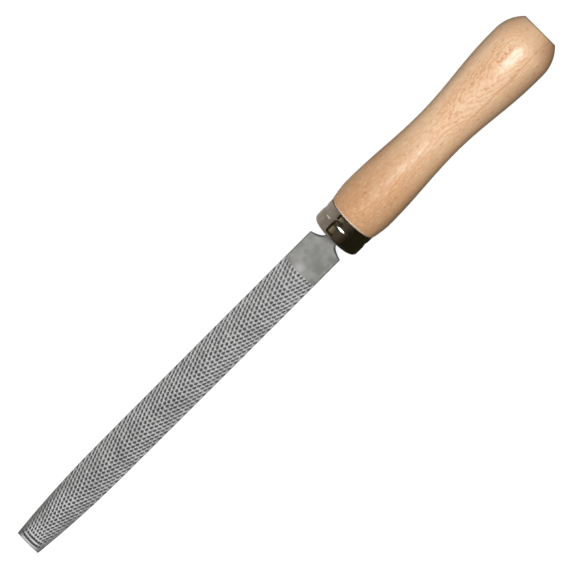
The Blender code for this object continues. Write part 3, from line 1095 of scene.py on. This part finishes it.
# %% [markdown]
# Beech is pale and pinkish, with quiet growth rings and, everywhere, the short dark dashes of its rays.
# Rings are shells about the tree's heart, and rays are thin plates that stand out from it, so both come
# from the distance and the angle about a heart line that runs well below the handle and not quite along
# it. Because the pattern is solid, the turned swells cut the rings into the nested arcs that a real
# handle shows, and the butt shows end grain. Noise pushes the rings in and out, slowly for the way a tree
# grows and quickly for the ragged edge of each ring.

# %% Grain of the beech
HEART = (0.0, -20.3 * MM, -71.6 * MM)
HEART_TURN = (0.0, math.radians(1.5), math.radians(8.1))
RING_PITCH = 0.52 * MM
FINE_RING_PITCH = 0.17 * MM
RING_WAVER = 1.2 * MM
WAVER_SCALE = (75.0, 190.0, 190.0)
RING_RIPPLE = 0.85 * MM
RIPPLE_SCALE = (420.0, 800.0, 800.0)
RAY_SIZE = (3.2 * MM, 0.8 * MM, 7.0 * MM)
RAY_REACH = 40.0 * MM
RAY_EDGE = (0.32, 0.14)
RAY_CHOICE = (0.38, 0.65)


def stretched_noise(tree, point, scale, detail=2.0, roughness=0.5):
    """Return noise from 0 to 1 whose patches have their own size along, across and up."""
    sized = wire(tree, "Mapping", {"Vector": point, "Scale": scale}).outputs[0]
    inputs = {"Vector": sized, "Scale": 1.0, "Detail": detail, "Roughness": roughness}
    return wire(tree, "TexNoise", inputs).outputs[0]


def swing(tree, noise, size):
    """Turn noise about one half into a push to either side."""
    return both(tree, maths(tree, "SUBTRACT", noise, 0.5), size)


def reach_of(tree, first, second):
    """Return the distance from an axis that two sides give."""
    squares = maths(tree, "ADD", maths(tree, "POWER", first, 2.0), maths(tree, "POWER", second, 2.0))
    return maths(tree, "SQRT", squares)


def shells(tree, depth, pitch, soft, full, sharp):
    """Return one dark line for each pitch of depth, soft on its inner side and sharp on its outer."""
    share = maths(tree, "FRACT", maths(tree, "DIVIDE", depth, pitch))
    return both(tree, ramp(tree, share, soft, full), ramp(tree, share, 1.0, sharp))


def ray_dashes(tree, axes, reach):
    """Return the cut edges of the rays, as dashes in cells about the heart line."""
    angle = maths(tree, "ARCTAN2", axes["Y"], axes["Z"])
    cell = wire(tree, "CombineXYZ", {0: maths(tree, "DIVIDE", axes["X"], RAY_SIZE[0]),
                                     1: both(tree, angle, RAY_REACH / RAY_SIZE[1]),
                                     2: maths(tree, "DIVIDE", reach, RAY_SIZE[2])}).outputs[0]
    cells = wire(tree, "TexVoronoi", {"Vector": cell, "Scale": 1.0}).outputs
    chosen = split_axes(tree, cells["Color"])["X"]
    return both(tree, ramp(tree, cells["Distance"], *RAY_EDGE), ramp(tree, chosen, *RAY_CHOICE))


def grain_masks(tree, point):
    """Return the masks of the rings, of the fine lines between them and of the rays."""
    turned = {"Vector": point, "Location": HEART, "Rotation": HEART_TURN}
    axes = split_axes(tree, wire(tree, "Mapping", turned, vector_type="TEXTURE").outputs[0])
    reach = reach_of(tree, axes["Y"], axes["Z"])
    slow = stretched_noise(tree, point, WAVER_SCALE, detail=5.0, roughness=0.6)
    waver = swing(tree, slow, RING_WAVER)
    ripple = swing(tree, stretched_noise(tree, point, RIPPLE_SCALE), RING_RIPPLE)
    depth = maths(tree, "ADD", reach, maths(tree, "ADD", waver, ripple))
    rings = shells(tree, depth, RING_PITCH, soft=0.40, full=0.86, sharp=0.86)
    fine_rings = shells(tree, depth, FINE_RING_PITCH, soft=0.35, full=0.70, sharp=0.75)
    return rings, fine_rings, ray_dashes(tree, axes, reach)


print("rings:", round(RING_PITCH / MM, 2), "mm apart")

# %% [markdown]
# The colour is built up as a finisher would stain it: a ground tone that is a little darker at the
# ferrule than at the palm, the grain laid over it, then short fibres and small clouds. The rings fade on
# the flanks, where the lathe cuts them so steeply that they run together, and on the round of the butt,
# and they come back on its flat.

# %% Colour of the beech
FRONT_TONE = (0.58, 0.356, 0.195)
REAR_TONE = (0.85, 0.61, 0.40)
BLUSH_PINK = (0.76, 0.43, 0.23)
RING_RED = (0.52, 0.19, 0.08)
FINE_RED = (0.58, 0.24, 0.11)
RAY_BROWN = (0.45, 0.15, 0.06)
FIBRE_BROWN = (0.50, 0.22, 0.08)
CLOUD_LIGHT = (0.95, 0.74, 0.54)
CLOUD_DARK = (0.60, 0.28, 0.12)
BUTT = NECK_LENGTH + HANDLE_LENGTH
TONE_STRETCH = (20.0 * MM, 90.0 * MM)
FLANK_FADE = (6.0 * MM, 11.0 * MM, 0.30, 1.0)
BUTT_FADE = (BUTT - 14.0 * MM, BUTT - 5.0 * MM, 1.0, 0.4)
END_GRAIN = (BUTT - 0.15 * MM, BUTT - 0.02 * MM, 0.0, 1.3)
BLUSH_SCALE = (22.0, 80.0, 80.0)
BLUSH_RANGE = (0.40, 0.65)
RINGS_IN_BLUSH = (0.30, 0.65, 0.20, 0.46)
SPOT_SCALE = (110.0, 180.0, 180.0)
FINE_RINGS_IN_SPOTS = (0.38, 0.66, 0.03, 0.20)
FIBRE_RANGE = (0.40, 0.70)
CLOUD_HIGH = (0.50, 0.75)
CLOUD_LOW = (0.50, 0.25)


def ring_strength(tree, sides):
    """Return how plainly the rings show: weak on the flanks and the butt's round, strong on its flat."""
    height = maths(tree, "ABSOLUTE", sides["Z"])
    crown = both(tree, ramp(tree, height, *FLANK_FADE), ramp(tree, sides["X"], *BUTT_FADE))
    return maths(tree, "MAXIMUM", crown, ramp(tree, sides["X"], *END_GRAIN))


def sound_wood(tree, point, cloud, fibre):
    """Return the colour of clean beech."""
    sides = split_axes(tree, point)
    rings, fine_rings, rays = grain_masks(tree, point)
    shown = ring_strength(tree, sides)
    blush = stretched_noise(tree, point, BLUSH_SCALE, detail=4.0, roughness=0.6)
    spots = stretched_noise(tree, point, SPOT_SCALE, detail=1.0)
    tone = tint(tree, ramp(tree, sides["X"], *TONE_STRETCH), FRONT_TONE, REAR_TONE)
    tone = paint(tree, tone, BLUSH_PINK, ramp(tree, blush, *BLUSH_RANGE), strength=0.40)
    rings = both(tree, rings, shown)
    tone = paint(tree, tone, RING_RED, rings, ramp(tree, blush, *RINGS_IN_BLUSH))
    fine_rings = both(tree, fine_rings, shown)
    tone = paint(tree, tone, FINE_RED, fine_rings, ramp(tree, spots, *FINE_RINGS_IN_SPOTS))
    tone = paint(tree, tone, RAY_BROWN, rays, strength=0.34)
    tone = paint(tree, tone, FIBRE_BROWN, ramp(tree, fibre, *FIBRE_RANGE), strength=0.20)
    tone = paint(tree, tone, CLOUD_LIGHT, ramp(tree, cloud, *CLOUD_HIGH), strength=0.24)
    return paint(tree, tone, CLOUD_DARK, ramp(tree, cloud, *CLOUD_LOW), strength=0.24)


print("ground tones:", FRONT_TONE, REAR_TONE)

# %% [markdown]
# A few open pores stand as flecks on the crown, and one darker streak runs along the palm. Both are
# single things that a noise would scatter anywhere, so the flecks are set one by one, as (along, across,
# size) in millimetres, and the streak is a line that only sways with noise.

# %% Pores and streak
FLECKS = ((30.8, 3.8, 0.9), (53.5, 3.4, 0.6), (59.8, 2.0, 0.65), (93.0, 4.4, 0.55), (96.3, 4.6, 0.5),
          (106.5, 3.3, 0.75), (106.2, 1.3, 0.6), (108.6, 2.9, 0.65), (111.0, 3.2, 0.75), (113.2, 3.2, 0.65),
          (108.0, 7.5, 0.6), (119.0, 2.0, 0.55))
FLECK_CORE = 0.35
FLATTENED = (1.0, 1.0, 0.0)
CROWN_HEIGHT = (0.0, 5.0 * MM)
STREAK_SIDE = -5.6 * MM
STREAK_WIDTH = 0.45 * MM
STREAK_CORE = 0.1 * MM
STREAK_SWAY = 3.0 * MM
SWAY_SCALE = (90.0, 260.0, 260.0)
STREAK_START = (74.0 * MM, 90.0 * MM)


def pores(tree, point, sides):
    """Return the mask of the single open pores on the crown."""
    level = wire(tree, "VectorMath", {0: point, 1: FLATTENED}, operation="MULTIPLY").outputs["Vector"]
    mask = 0.0
    for along_mm, across_mm, size_mm in FLECKS:
        centre = (along_mm * MM, across_mm * MM, 0.0)
        away = wire(tree, "VectorMath", {0: level, 1: centre}, operation="DISTANCE").outputs["Value"]
        mask = maths(tree, "MAXIMUM", mask, ramp(tree, away, size_mm * MM, size_mm * FLECK_CORE * MM))
    return both(tree, mask, ramp(tree, sides["Z"], *CROWN_HEIGHT))


def streak(tree, point, sides):
    """Return the mask of the darker streak along the palm."""
    sway = swing(tree, stretched_noise(tree, point, SWAY_SCALE, detail=4.0), STREAK_SWAY)
    off = maths(tree, "SUBTRACT", maths(tree, "ADD", sides["Y"], sway), STREAK_SIDE)
    line = ramp(tree, maths(tree, "ABSOLUTE", off), STREAK_WIDTH, STREAK_CORE)
    line = both(tree, line, ramp(tree, sides["Z"], *CROWN_HEIGHT))
    return both(tree, line, ramp(tree, sides["X"], *STREAK_START))


print("pores:", len(FLECKS))

# %% [markdown]
# The handle is not the same all over. Painted shade darkens its flanks: the -y flank over most of its
# length, most of all low on that flank and towards the butt, and the +y flank a little towards the front.
# The butt is darker still, with a nearly black line round the edge of its flat. At the ferrule the
# chamfer carries a painted highlight. A side shade is one side of the handle over a stretch of its
# length: where it starts and ends along, how strong it is at those two places, and how it sets in across.

# %% Marks, painted shade and a painted highlight on the handle
PORE_BROWN = (0.48, 0.16, 0.065)
STREAK_RED = (0.52, 0.20, 0.09)
BUTT_SIDE_SHADE_BROWN = (0.44, 0.22, 0.11)
BUTT_BROWN = (0.50, 0.28, 0.15)
PLUS_Y_SHADE_BROWN = (0.38, 0.19, 0.08)
MINUS_Y_SHADE_BROWN = (0.44, 0.23, 0.10)
LOW_FLANK_SHADE_BROWN = (0.25, 0.135, 0.06)
FLAT_EDGE_BLACK = (0.08, 0.05, 0.03)
CHAMFER_HIGHLIGHT_PALE = (0.95, 0.80, 0.64)
# Painted shade on the -y side towards the butt.
BUTT_SIDE_SHADE = (BUTT_SIDE_SHADE_BROWN, (BUTT - 11.0 * MM, BUTT - 2.0 * MM, 0.0, 0.62), (0.0, -9.0 * MM))
BUTT_STRETCH = (BUTT - 13.0 * MM, BUTT - 5.0 * MM)
# Painted shade on the sides: the +y flank towards the front, the -y flank behind, low on it by the palm.
SIDE_SHADES = ((PLUS_Y_SHADE_BROWN, (80.0 * MM, 40.0 * MM, 0.0, 0.12), (0.0, 6.0 * MM)),
               (MINUS_Y_SHADE_BROWN, (40.0 * MM, 75.0 * MM, 0.0, 0.30), (-4.0 * MM, -12.0 * MM)),
               (LOW_FLANK_SHADE_BROWN, (75.0 * MM, 95.0 * MM, 0.50, 0.225), (-8.0 * MM, -13.2 * MM)))
FLAT_EDGE_STRETCH = (BUTT - 0.6 * MM, BUTT - 0.2 * MM)
FLAT_EDGE_REACH = (BUTT_FLAT_DIAMETER / 2 - 0.5 * MM, BUTT_FLAT_DIAMETER / 2 - 0.15 * MM)
CHAMFER_END = NECK_LENGTH + FERRULE_LENGTH + FIT_GAP + COLLAR_CHAMFER
CHAMFER_HIGHLIGHT_STRETCH = (CHAMFER_END + 0.2 * MM, CHAMFER_END - 0.2 * MM)


def paint_side_shade(tree, sides, tone, colour, stretch, side):
    """Paint shade on one side of the handle over a stretch of its length."""
    return paint(tree, tone, colour, ramp(tree, sides["X"], *stretch), ramp(tree, sides["Y"], *side))


def flat_edge_line(tree, sides):
    """Return the mask of the dark line round the flat of the butt."""
    reach = reach_of(tree, sides["Y"], sides["Z"])
    return both(tree, ramp(tree, sides["X"], *FLAT_EDGE_STRETCH), ramp(tree, reach, *FLAT_EDGE_REACH))


def marked_and_shaded_wood(tree, point, tone):
    """Add the marks, the painted shade on the sides and the painted highlight at the chamfer."""
    sides = split_axes(tree, point)
    tone = paint(tree, tone, PORE_BROWN, pores(tree, point, sides), strength=0.55)
    tone = paint(tree, tone, STREAK_RED, streak(tree, point, sides), strength=0.40)
    tone = paint_side_shade(tree, sides, tone, *BUTT_SIDE_SHADE)
    tone = paint(tree, tone, BUTT_BROWN, ramp(tree, sides["X"], *BUTT_STRETCH), strength=0.34)
    # Painted shade on the sides of the handle.
    for side_shade in SIDE_SHADES:
        tone = paint_side_shade(tree, sides, tone, *side_shade)
    # A nearly black line round the edge of the butt's flat.
    tone = paint(tree, tone, FLAT_EDGE_BLACK, flat_edge_line(tree, sides), strength=0.60)
    # Painted highlight on the collar's chamfer by the ferrule.
    return paint(tree, tone, CHAMFER_HIGHLIGHT_PALE, ramp(tree, sides["X"], *CHAMFER_HIGHLIGHT_STRETCH), strength=0.75)


print("painted_shades:", 1 + len(SIDE_SHADES))

# %% [markdown]
# A satin lacquer lies over the wood as a coat. It is thicker and smoother on the palm, where it shows the
# flash as one clear highlight, and thin on the waist, where the grain breaks the highlight up. The coat's
# roughness is one number, so its weight is what changes along the handle.

# %% Handle finish
CLOUD_SCALE = (520.0, 1050.0, 1050.0)
FIBRE_SCALE = (380.0, 1600.0, 1600.0)
FIBRE_BUMP = 0.05
WOOD_ROUGHNESS = (0.3, 0.7, 0.48, 0.40)
LACQUER_STRETCH = (75.0 * MM, 104.0 * MM, 0.24, 0.75)
LACQUER_BREAKS = (0.35, 0.60, 0.5, 1.0)


def beech():
    """Make lacquered beech."""
    material, tree, shader = new_material("lacquered_beech")
    point = tool_place(tree)
    cloud = stretched_noise(tree, point, CLOUD_SCALE)
    fibre = stretched_noise(tree, point, FIBRE_SCALE)
    tone = marked_and_shaded_wood(tree, point, sound_wood(tree, point, cloud, fibre))
    lacquer = ramp(tree, split_axes(tree, point)["X"], *LACQUER_STRETCH)
    lacquer = both(tree, lacquer, ramp(tree, cloud, *LACQUER_BREAKS))
    dress(tree, shader, {"Base Color": tone, "Roughness": ramp(tree, cloud, *WOOD_ROUGHNESS),
                         "Coat Weight": lacquer, "Coat Roughness": 0.16, "Specular IOR Level": 0.35,
                         "Normal": rough_height(tree, fibre, FIBRE_BUMP)})
    return material


handle.data.materials.clear()
handle.data.materials.append(beech())
print("handle:", handle.data.materials[0].name)
